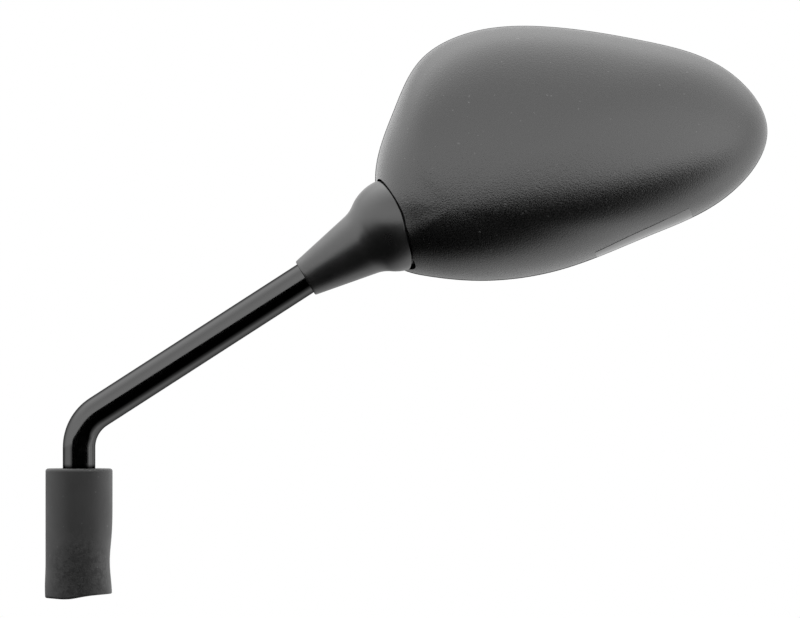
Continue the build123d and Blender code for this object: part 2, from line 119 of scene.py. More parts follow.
# Raised plate on the underside: its front left corner in X and Z, its run, and the depth of its edges
PLATE_START = np.array([189.4, 98.5])
PLATE_RISE = 25.3
PLATE_LENGTH = 38.1
PLATE_FRONT_Y = (6.1, 4.7, 3.3, 2.6, 3.6)
PLATE_BACK_Y = 17.4
PLATE_INSET = 0.13
PLATE_ROOT = 1.2

# Neck opening: a ball about the cover's end and a flat that faces the stem and a little forward
OPENING_RADIUS = 17.75
OPENING_OFFSET = 0.75
OPENING_DISC = 25.0
OPENING_RISE, OPENING_TURN = np.radians((19.4, 14.5))
OPENING_WAY = -np.array([
    np.cos(OPENING_TURN) * np.cos(OPENING_RISE),
    np.sin(OPENING_TURN),
    np.cos(OPENING_TURN) * np.sin(OPENING_RISE),
])
TOOL_COLUMNS = 176

# Convex glass, and the bead of the seal that runs over its edge
GLASS_CURVE = 1400.0
GLASS_FRONT_Y = 24.2
GLASS_INSET = 3.2
GLASS_THICKNESS = 2.2
GLASS_COLUMNS = 360
GLASS_SHARP_ANGLE = 25.0
GLASS_MIDDLE = BALL[[0, 2]] + HEAD_SPAN * (0.45, 0.27)
SEAL_INSETS = (2.1, 4.5)
SEAL_BEAD = 0.75
SEAL_FOOT = -3.2

# Stem: one bar with one bend, a threaded stud below it and a turned neck that ends in the ball
STEM_RADIUS = 6.0
STEM_BEND = 15.5
STEM_CORNER = 35.7
STEM_COLUMNS = 72
STUD_RADIUS = 5.0
STUD_FOOT = -19.5
GROOVE_RADIUS = 4.3
GROOVE_TOP = 1.5
SHOULDER = 12.7
TURNED_RADIUS = 3.5

# Sleeve over the nut
SLEEVE_RADIUS = 12.3
SLEEVE_BORE = 10.3
SLEEVE_HOLE = 6.1
SLEEVE_TOP = 19.5
SLEEVE_ROOF = 15.5
SLEEVE_FOOT = -27.1
SLEEVE_COLUMNS = 144
SMUDGE_CENTRE = (1.0, -12.0, -19.0)
SMUDGE_REACH = (14.0, 20.0, 16.0)
# Heights on the stem over which a painted shade band above the sleeve's top fades out
PAINTED_SHADE_HEIGHTS = (20.0, 21.2)

# The picture in pixels: its width, centre and place of the origin, and its scale at a depth
PICTURE_WIDTH = 800
PIXELS_PER_MM = 2.72
PICTURE_CENTRE = np.array([400, 309])
ORIGIN_PIXEL = np.array([80, 521])
SCALE_Y = 12.0
FLOOR_CENTRE = 120.0
FLOOR_RADIUS = 500.0

# White card round the right front, with the lower edge and the glow along its run, and the black flag
CARD_START_X = 230.0
CARD_FRONT_Y = -170.0
CARD_SIDE_X = 560.0
CARD_ROUND = 80.0
CARD_END_Y = 160.0
CARD_TOP = 300.0
CARD_LOW = ((0, 60, 140, 200, 250, 300, 376, 470, 560), (108, 96, 72, 66, 45, 30, -40, -150, -240))
CARD_GLOW = ((0, 100, 200, 330, 426, 480, 560, 626), (1.6, 1.75, 1.95, 1.9, 1.3, 1.43, 1.5, 1.6))
FLAG_START = (-700.0, -600.0)
FLAG_END = (1000.0, -600.0)
FLAG_LOW = -400.0
FLAG_TOP = 138.0


# Shapes

def closed_curve(points, count):
    """Periodic cubic spline: each span is a cubic whose second derivatives solve the
    usual ring of equations, with the chord length as parameter. Returns count points."""
    ahead = np.roll(points, -1, axis=0)
    span = np.linalg.norm(ahead - points, axis=1)
    slope = (ahead - points) / span[:, None]
    size = len(points)
    index = np.arange(size)
    ring = np.zeros((size, size))
    ring[index, index] = (span + np.roll(span, 1)) / 3
    ring[index, (index + 1) % size] = span / 6
    ring[index, index - 1] = np.roll(span, 1) / 6
    bend = np.linalg.solve(ring, slope - np.roll(slope, 1, axis=0))
    start = np.concatenate([[0.0], np.cumsum(span)])
    travel = np.linspace(0.0, start[-1], count, endpoint=False)
    piece = np.searchsorted(start, travel, side="right") - 1
    length = span[piece]
    right = ((travel - start[piece]) / length)[:, None]
    left = 1 - right
    square = (length**2 / 6)[:, None]
    near, far = bend[piece], np.roll(bend, -1, axis=0)[piece]
    return (left * points[piece] + right * ahead[piece]
            + square * ((left**3 - left) * near + (right**3 - right) * far))


def even_curve(points, count):
    """The same spline sampled at even steps of its length."""
    dense = closed_curve(points, count * 8)
    loop = np.vstack([dense, dense[:1]])
    length = np.concatenate([[0.0], np.cumsum(np.linalg.norm(np.diff(loop, axis=0), axis=1))])
    steps = np.linspace(0.0, length[-1], count, endpoint=False)
    return np.stack([np.interp(steps, length, loop[:, k]) for k in (0, 1)], axis=1)


def head_outline(count):
    """Rim outline of the head and its inward normals, both count by 2, in X and Z."""
    rim = even_curve(BALL[[0, 2]] + HEAD_SPAN * OUTLINE, count)
    run = np.roll(rim, -1, axis=0) - np.roll(rim, 1, axis=0)
    run /= np.linalg.norm(run, axis=1)[:, None]
    return rim, np.stack([run[:, 1], -run[:, 0]], axis=1)


def head_rows(rim, inward, inset, height, depth_part):
    """Rows of head sections: the rim set in along its normals, shrunk by the root of
    1 - h squared about a centre that drifts to the neck by h squared, at height Y. The
    inset, height and part are one a row or one a point."""
    inset, height, part = np.broadcast_arrays(inset, height, depth_part)
    shrink = np.sqrt(np.clip(1 - part**2, 0, 1))[..., None]
    centre = DOME_FOOT + (DOME_TOP - DOME_FOOT) * (part**2)[..., None]
    flat = centre + (rim + inset[..., None] * inward - DOME_FOOT) * shrink
    level = np.broadcast_to(height, flat.shape[:2])
    return np.stack([flat[..., 0], level, flat[..., 1]], axis=-1)


def turned(profile, count, centre, axis, side, third):
    """Profile of radius and axial distance carried round an axis: P = centre + axial
    times axis + radius times (cos of side + sin of third)."""
    angle = np.linspace(0, 2 * np.pi, count, endpoint=False)
    ring = np.cos(angle)[:, None] * side + np.sin(angle)[:, None] * third
    return centre + profile[:, None, 1:2] * axis + profile[:, None, 0:1] * ring


def arc(centre, radius, start, end, count):
    """Points on an arc of a profile or path, angles in degrees."""
    angle = np.radians(np.linspace(start, end, count))
    return np.asarray(centre) + radius * np.stack([np.cos(angle), np.sin(angle)], axis=1)


def straight(start, end, count):
    """Points on a straight run of a profile or path, without its last one."""
    return np.linspace(start, end, count, endpoint=False)


def grid_faces(rows, columns, wrap_rows=False):
    """Quads of a grid that closes on itself along its columns, and along its rows if asked."""
    last = rows if wrap_rows else rows - 1
    i, j = np.meshgrid(np.arange(last), np.arange(columns), indexing="ij")
    k, m = (i + 1) % rows, (j + 1) % columns
    quads = np.stack([i * columns + j, i * columns + m, k * columns + m, k * columns + j], axis=-1)
    return quads.reshape(-1, 4)


def end_fans(rows, columns):
    """Triangles from the first and the last ring of a grid to the two points that follow the grid."""
    here = np.arange(columns)
    ahead = (here + 1) % columns
    count = rows * columns
    last = count - columns
    first_fan = np.stack([np.full(columns, count), ahead, here], axis=-1)
    last_fan = np.stack([last + here, last + ahead, np.full(columns, count + 1)], axis=-1)
    return np.vstack([first_fan, last_fan])


def new_piece(name, points, quads, triangles=None, sharp=SHARP_ANGLE):
    """Mesh object from whole arrays in millimetres, smooth up to the sharp angle."""
    triangles = np.zeros((0, 3), int) if triangles is None else triangles
    mesh = bpy.data.meshes.new(name)
    points = points.reshape(-1, 3) * MM
    corners = np.concatenate([quads.ravel(), triangles.ravel()]).astype(np.int32)
    totals = np.concatenate([np.full(len(quads), 4), np.full(len(triangles), 3)])
    starts = np.concatenate([[0], np.cumsum(totals)[:-1]])
    mesh.vertices.add(len(points))
    mesh.vertices.foreach_set("co", points.astype(np.float32).ravel())
    mesh.loops.add(len(corners))
    mesh.loops.foreach_set("vertex_index", corners)
    mesh.polygons.add(len(totals))
    mesh.polygons.foreach_set("loop_start", starts.astype(np.int32))
    mesh.update(calc_edges=True)
    mesh.validate()
    finish_shading(mesh, sharp)
    piece = bpy.data.objects.new(name, mesh)
    bpy.context.scene.collection.objects.link(piece)
    return piece


def finish_shading(mesh, sharp):
    """Smooth faces, with edges over the sharp angle kept crisp."""
    mesh.polygons.foreach_set("use_smooth", np.ones(len(mesh.polygons), dtype=bool))
    mesh.set_sharp_from_angle(angle=math.radians(sharp))
    mesh.update()


def solid_of_turn(name, profile, centre, axis, side, third):
    """Closed solid of a profile turned round an axis, with a point at either end."""
    points = turned(profile, TOOL_COLUMNS, centre, axis, side, third)
    poles = centre + axis * profile[[0, -1], 1][:, None]
    fans = end_fans(len(profile), TOOL_COLUMNS)
    quads = grid_faces(len(profile), TOOL_COLUMNS)
    if np.dot(np.cross(side, third), axis) < 0:
        quads, fans = quads[:, ::-1], fans[:, ::-1]
    return new_piece(name, np.vstack([points.reshape(-1, 3), poles]), quads, fans)


def mark(piece, name, values):
    """Point attribute that a material reads."""
    layer = piece.data.attributes.new(name, "FLOAT", "POINT")
    layer.data.foreach_set("value", np.asarray(values, np.float32).ravel())


def step(low, high, value):
    """Smooth step from 0 at low to 1 at high."""
    x = np.clip((value - low) / (high - low), 0, 1)
    return x * x * (3 - 2 * x)


def fasten(piece, body, node, *finishes):
    """Give a piece its finishes and its body, and hide the CAD node that it stands for."""
    for material in finishes:
        piece.data.materials.append(material)
    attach(piece, body)
    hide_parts(node)


# Finishes

def new_finish(name, colour, roughness, **sockets):
    """Principled material with its constants on its own sockets."""
    material = bpy.data.materials.new(name)
    material.use_nodes = True
    shader = material.node_tree.nodes["Principled BSDF"]
    shader.inputs["Base Color"].default_value = (*colour, 1.0)
    shader.inputs["Roughness"].default_value = roughness
    for socket, value in sockets.items():
        shader.inputs[socket.replace("_", " ")].default_value = value
    return material, material.node_tree, shader


def shade(colour, part):
    """A colour made darker or paler."""
    return tuple(part * c for c in colour)


def noise(tree, scale, detail=2.0, rough=0.5, stretch=None):
    """Noise over Object coordinates, stretched if asked. Returns its factor."""
    place = tree.nodes.new("ShaderNodeTexCoord").outputs["Object"]
    if stretch is not None:
        mapping = tree.nodes.new("ShaderNodeMapping")
        mapping.inputs["Scale"].default_value = stretch
        tree.links.new(place, mapping.inputs["Vector"])
        place = mapping.outputs["Vector"]
    texture = tree.nodes.new("ShaderNodeTexNoise")
    texture.inputs["Scale"].default_value = scale
    texture.inputs["Detail"].default_value = detail
    texture.inputs["Roughness"].default_value = rough
    tree.links.new(place, texture.inputs["Vector"])
    return texture.outputs["Fac"]


def nearness(tree, centre, reach):
    """1 at a centre in Object coordinates, falling evenly to 0 at its reach along each axis."""
    place = tree.nodes.new("ShaderNodeMapping")
    place.inputs["Scale"].default_value = tuple(1 / (r * MM) for r in reach)
    place.inputs["Location"].default_value = tuple(-c / r for c, r in zip(centre, reach))
    texture = tree.nodes.new("ShaderNodeTexGradient")
    texture.gradient_type = "SPHERICAL"
    tree.links.new(tree.nodes.new("ShaderNodeTexCoord").outputs["Object"], place.inputs["Vector"])
    tree.links.new(place.outputs["Vector"], texture.inputs["Vector"])
    return texture.outputs["Fac"]


def remap(tree, value, low, high, to_low, to_high):
    """Linear map of a value, clamped."""
    node = tree.nodes.new("ShaderNodeMapRange")
    ends = {"From Min": low, "From Max": high, "To Min": to_low, "To Max": to_high}
    for socket, number in ends.items():
        node.inputs[socket].default_value = number
    tree.links.new(value, node.inputs["Value"])
    return node.outputs["Result"]


def blend_colour(tree, factor, first, second):
    """Mix of two colours, or of a colour socket and a colour, by a factor."""
    node = tree.nodes.new("ShaderNodeMix")
    node.data_type = "RGBA"
    tree.links.new(factor, node.inputs["Factor"])
    for socket, value in ((node.inputs[6], first), (node.inputs[7], second)):
        if isinstance(value, bpy.types.NodeSocket):
            tree.links.new(value, socket)
        else:
            socket.default_value = (*value, 1.0)
    return node.outputs[2]


def combine(tree, operation, first, second):
    """Math on two values."""
    node = tree.nodes.new("ShaderNodeMath")
    node.operation = operation
    for socket, value in zip(node.inputs, (first, second)):
        if isinstance(value, bpy.types.NodeSocket):
            tree.links.new(value, socket)
        else:
            socket.default_value = value
    return node.outputs[0]


def times(tree, *values):
    """Product of values."""
    result = values[0]
    for value in values[1:]:
        result = combine(tree, "MULTIPLY", result, value)
    return result


def bump(tree, shader, height, strength, distance):
    """Bump of a height in millimetres into the shader's normal."""
    node = tree.nodes.new("ShaderNodeBump")
    node.inputs["Strength"].default_value = strength
    node.inputs["Distance"].default_value = distance * MM
    tree.links.new(height, node.inputs["Height"])
    tree.links.new(node.outputs["Normal"], shader.inputs["Normal"])


def grained_moulding(colours, sizes):
    """Housing plastic: fine spark-eroded grain, faint cloudiness and a few dust specks."""
    plain = colours.housing
    material, tree, shader = new_finish("grained_moulding", plain, 0.32, Specular_IOR_Level=1.0)
    grain = noise(tree, 1 / (sizes.grain * MM), 3.0, 0.6)
    cloud = noise(tree, 40.0, 2.0)
    speck = remap(tree, noise(tree, 900.0, 0.0), 0.83, 0.86, 0.0, 1.0)
    base = blend_colour(tree, cloud, shade(plain, 0.85), shade(plain, 1.15))
    pits = remap(tree, grain, 0.35, 0.65, 0.6, 0.0)
    base = blend_colour(tree, pits, base, (0.001, 0.001, 0.001))
    base = blend_colour(tree, speck, base, shade(plain, 9.0))
    tree.links.new(base, shader.inputs["Base Color"])
    tree.links.new(remap(tree, grain, 0.3, 0.7, 0.22, 0.32), shader.inputs["Roughness"])
    bump(tree, shader, grain, 0.5, 0.2)
    return material


def polished_moulding(colours):
    """The housing's plastic from a polished face of the mould, with faint cloudiness, and a base colour
    twelve times the housing's as a painted reflection.
    """
    # painted reflection: the plate's colour is made much paler than the housing's plastic so that it reads
    # as lit
    painted_reflection = shade(colours.housing, 12.0)
    material, tree, shader = new_finish("polished_moulding", painted_reflection, 0.12, Specular_IOR_Level=1.0)
    cloud = noise(tree, 60.0, 2.0)
    tree.links.new(remap(tree, cloud, 0.3, 0.7, 0.08, 0.16), shader.inputs["Roughness"])
    return material


def smooth_rubber(name, colour, roughness, scuffs, gloss, smudge=None):
    """Soft matte cover: slight mottling, specks of dust and lengthwise scuffs, and a rumpled
    smudge about a centre and its reach, if given."""
    material, tree, shader = new_finish(name, colour, roughness, Specular_IOR_Level=gloss)
    mottle = noise(tree, 90.0, 4.0, 0.6)
    scuff = remap(tree, noise(tree, 120.0, 5.0, 0.7, (3.0, 3.0, 0.35)), 0.62, 0.78, 0.0, scuffs)
    base = blend_colour(tree, mottle, shade(colour, 0.75), shade(colour, 1.25))
    base = blend_colour(tree, scuff, base, shade(colour, 3.0))
    speck = remap(tree, noise(tree, 1000.0, 0.0), 0.82, 0.85, 0.0, scuffs)
    base = blend_colour(tree, speck, base, shade(colour, 6.0))
    height = noise(tree, 900.0, 3.0, 0.6)
    rough = remap(tree, mottle, 0.3, 0.7, roughness - 0.06, roughness + 0.06)
    if smudge is not None:
        rumple = noise(tree, 420.0, 5.0, 0.7)
        patch = remap(tree, nearness(tree, *smudge), 0.0, 0.5, 0.0, 1.0)
        dark = times(tree, patch, remap(tree, rumple, 0.46, 0.54, 0.0, 0.9))
        base = blend_colour(tree, dark, base, shade(colour, 0.25))
        height = combine(tree, "ADD", height, times(tree, patch, rumple, 60.0))
        rough = combine(tree, "ADD", rough, times(tree, dark, 0.15))
    tree.links.new(base, shader.inputs["Base Color"])
    tree.links.new(rough, shader.inputs["Roughness"])
    bump(tree, shader, height, 0.12, 0.05)
    return material


def gloss_paint(colours):
    """Stem paint: gloss black with dim edges, faint orange peel, and a painted shade band at its foot, just
    above the sleeve's top.
    """
    material, tree, shader = new_finish(
        "gloss_paint", colours.stem, 0.14, Metallic=1.0, Specular_Tint=(0.35, 0.35, 0.35, 1.0))
    place = tree.nodes.new("ShaderNodeSeparateXYZ")
    tree.links.new(tree.nodes.new("ShaderNodeTexCoord").outputs["Object"], place.inputs["Vector"])
    # painted shade: below these heights the paint goes to near black, a contact shade where the stem enters
    # the sleeve
    low, high = (height * MM for height in PAINTED_SHADE_HEIGHTS)
    above_shade_band = remap(tree, place.outputs["Z"], low, high, 0.0, 1.0)
    base = blend_colour(tree, above_shade_band, (0.008, 0.008, 0.008), colours.stem)
    tree.links.new(base, shader.inputs["Base Color"])
    peel = noise(tree, 260.0, 2.0)
    tree.links.new(remap(tree, peel, 0.3, 0.7, 0.08, 0.14), shader.inputs["Roughness"])
    bump(tree, shader, peel, 0.05, 0.05)
    return material


def plain_metal(name, colour, roughness):
    """Plated or turned steel with faint machining streaks."""
    material, tree, shader = new_finish(name, colour, roughness, Metallic=1.0)
    streak = noise(tree, 500.0, 3.0, 0.6, (1.0, 1.0, 6.0))
    base = blend_colour(tree, streak, shade(colour, 0.85), colour)
    rough = remap(tree, streak, 0.3, 0.7, roughness - 0.05, roughness + 0.08)
    tree.links.new(base, shader.inputs["Base Color"])
    tree.links.new(rough, shader.inputs["Roughness"])
    return material


def plain_moulding(name, colour, roughness):
    """Unseen inner plastic with a light moulded texture."""
    material, tree, shader = new_finish(name, colour, roughness)
    texture = noise(tree, 700.0, 2.0)
    base = blend_colour(tree, texture, shade(colour, 0.9), colour)
    tree.links.new(base, shader.inputs["Base Color"])
    bump(tree, shader, texture, 0.1, 0.05)
    return material


def silvered_glass(colours):
    """Mirror: a metal film under clear glass, with a trace of dust in its roughness."""
    material, tree, shader = new_finish(
        "silvered_glass", colours.silver, 0.02, Metallic=1.0, Coat_Weight=1.0)
    dust = noise(tree, 60.0, 5.0, 0.65)
    tree.links.new(remap(tree, dust, 0.5, 0.8, 0.01, 0.05), shader.inputs["Roughness"])
    return material


# Settings that a user would change

class MirrorSizes(bpy.types.PropertyGroup):
    grain: FloatProperty(
        name="Grain", description="Size of the housing's grain in millimetres",
        default=0.55, min=0.1)
    thread_pitch: FloatProperty(
        name="Thread pitch", description="Pitch of the stud's thread in millimetres",
        default=1.25, min=0.5)
    thread_depth: FloatProperty(
        name="Thread depth", description="Depth of the stud's thread in millimetres",
        default=0.65, min=0.1)
    sleeve_dent: FloatProperty(
        name="Sleeve dent", description="Depth of the dent in the lower sleeve in millimetres",
        default=1.0, min=0.0)
    floor_drop: FloatProperty(
        name="Floor drop", description="Distance of the floor below the origin",
        default=0.05, unit="LENGTH")
    camera_distance: FloatProperty(
        name="Camera distance", description="Distance of the camera",
        default=4.0, unit="LENGTH")


class MirrorColours(bpy.types.PropertyGroup):
    housing: FloatVectorProperty(
        name="Housing", description="Colour of the moulded housing",
        subtype="COLOR", default=(0.007, 0.007, 0.007))
    neck: FloatVectorProperty(
        name="Neck cover", description="Colour of the neck cover",
        subtype="COLOR", default=(0.011, 0.011, 0.011))
    stem: FloatVectorProperty(
        name="Stem", description="Colour of the stem's paint",
        subtype="COLOR", default=(0.085, 0.085, 0.085))
    sleeve: FloatVectorProperty(
        name="Sleeve", description="Colour of the lower sleeve",
        subtype="COLOR", default=(0.018, 0.018, 0.018))
    silver: FloatVectorProperty(
        name="Glass", description="Colour of the mirror's metal film",
        subtype="COLOR", default=(0.58, 0.60, 0.61))
    zinc: FloatVectorProperty(
        name="Zinc", description="Colour of plated fasteners",
        subtype="COLOR", default=(0.60, 0.60, 0.57))
    nylon: FloatVectorProperty(
        name="Nylon", description="Colour of the slip seats",
        subtype="COLOR", default=(0.80, 0.79, 0.74))


# Operators

class MIRROR_OT_housing(bpy.types.Operator):
    """Build the moulded housing with its rim, pocket, smooth plate and neck opening"""
    bl_idname = "mirror.housing"
    bl_label = "Housing"

    def execute(self, context):
        # rows of sections run from the dome's top over the lip and the rim, down to the ledge and
        # along the inner dome
        columns = HEAD_COLUMNS
        rim, inward = head_outline(columns)
        outer = np.sin(np.radians(np.linspace(89.3, 0.0, 120)))
        turn = np.radians(np.linspace(0, 90, 7)[1:])
        inner = np.sin(np.radians(np.linspace(0.0, 89.0, 40)))[1:]
        below_lip = LIP_Y - np.array([1.5, 0.7, 0.1, 0.0])
        lip = np.array([LIP_Y + 0.06, LIP_Y + 0.2, LIP_Y + 1.2, RIM_Y - RIM_ROUND])
        inset = np.concatenate([
            np.full(len(outer) + len(below_lip), RIM_LIP), np.zeros(len(lip)),
            RIM_ROUND * (1 - np.cos(turn)), [1.4, 1.65, RIM_WALL],
            np.full(6, RIM_WALL), [2.4, WALL], np.full(len(inner), WALL)])
        height = np.concatenate([
            DOME_Y - DOME_DEPTH * outer, below_lip, lip,
            RIM_Y - RIM_ROUND * (1 - np.sin(turn)), [RIM_Y, RIM_Y - 0.05, RIM_Y - 0.3],
            np.linspace(RIM_Y - 0.3, LEDGE_Y, 7)[1:], [LEDGE_Y, LEDGE_Y],
            DOME_Y - (DOME_DEPTH - WALL) * inner])
        part = np.concatenate([outer, np.zeros(len(height) - len(outer) - len(inner)), inner])
        points = head_rows(rim, inward, inset[:, None], height[:, None], part[:, None])
        top = np.array([DOME_TOP[0], DOME_Y - DOME_DEPTH, DOME_TOP[1]])
        deep = top + (0, WALL, 0)
        rows = len(points)
        mesh_points = np.vstack([points.reshape(-1, 3), top, deep])
        piece = new_piece("housing", mesh_points, grid_faces(rows, columns), end_fans(rows, columns))
        plate = self.plate()
        colours = context.scene.mirror_colours
        piece.data.materials.append(grained_moulding(colours, context.scene.mirror_sizes))
        plate.data.materials.append(polished_moulding(colours))
        self.cut_opening(context, piece, plate)
        fasten(piece, "head", "housing_shell")
        return {"FINISHED"}

    @staticmethod
    def plate():
        """Smooth raised plate: the head's own surface from a bowed front edge to a level back edge,
        lifted a little, and closed by the same sheet set into the wall."""
        rim, inward = head_outline(1200)
        low = (rim[:, 1] < DOME_FOOT[1]) & (rim[:, 0] > DOME_FOOT[0])
        rim, inward = rim[low][::-1], inward[low][::-1]
        spots = np.linspace(0, PLATE_LENGTH, 120)
        front = np.interp(spots, np.linspace(0, PLATE_LENGTH, len(PLATE_FRONT_Y)), PLATE_FRONT_Y)
        height = front + (PLATE_BACK_Y - front) * np.linspace(0, 1, 24)[:, None]
        level = np.linspace(0, PLATE_BACK_Y, 60)
        rise = math.radians(PLATE_RISE)
        way = np.array([math.cos(rise), math.sin(rise)])

        def sheet(inset):
            """The head's surface, set in, at the plate's spots along each level, then at its heights."""
            dome = head_rows(rim, inward, inset, level[:, None], (DOME_Y - level[:, None]) / DOME_DEPTH)
            run = (dome[..., [0, 2]] - PLATE_START) @ way
            places = []
            for axis in (0, 2):
                lines = np.array([np.interp(spots, r, d) for r, d in zip(run, dome[..., axis])])
                places.append([np.interp(h, level, line) for h, line in zip(height.T, lines.T)])
            x, z = np.array(places)
            return np.stack([x.T, height, z.T], axis=-1)

        outside, inside = sheet(PLATE_INSET), sheet(PLATE_ROOT)[::-1]
        loops = np.concatenate([outside, inside]).transpose(1, 0, 2)
        sections, columns = loops.shape[:2]
        points = np.vstack([loops.reshape(-1, 3), loops[[0, -1]].mean(axis=1)])
        return new_piece("plate", points, grid_faces(sections, columns), end_fans(sections, columns))

    @staticmethod
    def cut_opening(context, piece, plate):
        """The shell with its plate, less a ball about the cover's end and less a disc that stands on
        the flat of the neck opening."""
        level = arc((0, 0), OPENING_RADIUS, -89, 89, 89)
        tall = 2 * OPENING_DISC
        disc = np.array([(0.2, 0.0), (OPENING_DISC, 0.0), (OPENING_DISC, tall), (0.2, tall)])
        side = np.cross(DEPTH, OPENING_WAY)
        side /= np.linalg.norm(side)
        start = BALL + OPENING_WAY * OPENING_OFFSET
        ball = solid_of_turn("opening_ball", level, NECK, NECK_WAY, NECK_ACROSS, DEPTH)
        third = np.cross(OPENING_WAY, side)
        flat = solid_of_turn("opening_flat", disc, start, OPENING_WAY, side, third)
        for tool, operation in ((plate, "UNION"), (ball, "DIFFERENCE"), (flat, "DIFFERENCE")):
            cut = piece.modifiers.new(tool.name, "BOOLEAN")
            cut.operation, cut.solver, cut.object = operation, "EXACT", tool
            cut.material_mode = "TRANSFER"
        ready = piece.evaluated_get(context.evaluated_depsgraph_get())
        old = piece.data
        mesh = bpy.data.meshes.new_from_object(ready)
        piece.modifiers.clear()
        piece.data = mesh
        mesh.name = "housing"
        spent = [old, plate.data, ball.data, flat.data]
        bpy.data.batch_remove([plate, ball, flat])
        bpy.data.batch_remove(spent)
        finish_shading(mesh, SHARP_ANGLE)


class MIRROR_OT_neck_cover(bpy.types.Operator):
    """Build the cone that grips the stem and ends in a ball shape inside the housing"""
    bl_idname = "mirror.neck_cover"
    bl_label = "Neck cover"

    def execute(self, context):
        profile = self.profile()
        points = turned(profile, COVER_COLUMNS, NECK, NECK_WAY, NECK_ACROSS, DEPTH)
        self.draw_in(points)
        piece = new_piece("neck_cover", points, grid_faces(len(profile), COVER_COLUMNS, True)[:, ::-1])
        colours = context.scene.mirror_colours
        rubber = smooth_rubber("neck_rubber", colours.neck, 0.33, 0.25, 1.0)
        fasten(piece, "stem", "neck_boot", rubber)
        return {"FINISHED"}

    @staticmethod
    def profile():
        """Radius and distance along the cover: a cone that runs through a soft hollow into the ball, a
        rounded lip, the inner ball, the hollow inside and the grip on the stem."""
        wall, inner_ball, start = COVER_WALL, COVER_BALL - COVER_WALL, -CONE_START
        middle_ball = COVER_BALL - wall / 2
        edge = COVER_EDGE - math.degrees(wall / 2 / middle_ball)
        inner_drop = math.degrees(math.acos((CONE_LARGE - wall) / inner_ball))
        base = np.array([CONE_SMALL, start])
        way = np.array([CONE_LARGE, -math.sqrt(COVER_BALL**2 - CONE_LARGE**2)]) - base
        way /= np.linalg.norm(way)
        away = np.array([way[1], -way[0]])
        first = base + CONE_SOFT * away
        along = -first @ way
        along -= math.sqrt(along**2 - first @ first + (COVER_BALL + CONE_SOFT) ** 2)
        middle = first + along * way
        meet = np.degrees(np.arctan2(middle[1], middle[0]))
        swing = np.degrees(np.arctan2(-away[1], -away[0]))
        lip_centre = arc((0, 0), middle_ball, edge, edge, 1)[0]
        inner = arc((0, 0), inner_ball, edge, -inner_drop, 50)
        grip = np.array([COVER_BORE + COVER_EASE, start + COVER_GRIP])
        return np.vstack([
            straight(base + way * 0.4, base + way * along, 44),
            arc(middle, CONE_SOFT, swing, meet + 180, 22),
            arc((0, 0), COVER_BALL, meet, edge, 110)[1:],
            arc(lip_centre, wall / 2, edge, edge + 180, 9)[1:-1],
            inner,
            straight(inner[-1], grip, 20)[1:],
            straight(grip, (COVER_BORE, start + COVER_EASE), 8),
            [(COVER_BORE + 0.15, start), (CONE_SMALL - 0.35, start), (CONE_SMALL - 0.1, start + 0.15)]])

    @staticmethod
    def draw_in(points):
        """Move the outer side towards the ball's centre, by a smooth step across the opening's flat."""
        out = points - NECK
        far = np.linalg.norm(out, axis=-1, keepdims=True)
        height = points[..., 2]
        past = (points - BALL) @ OPENING_WAY - OPENING_OFFSET - np.interp(height, *RECESS_START)
        depth = np.interp(height, *RECESS_DEPTH) * step(RECESS_EASE, -RECESS_EASE, past)
        outside = np.clip((far - COVER_BALL + COVER_WALL) / COVER_WALL, 0, 1)
        points -= depth[..., None] * outside * out / far


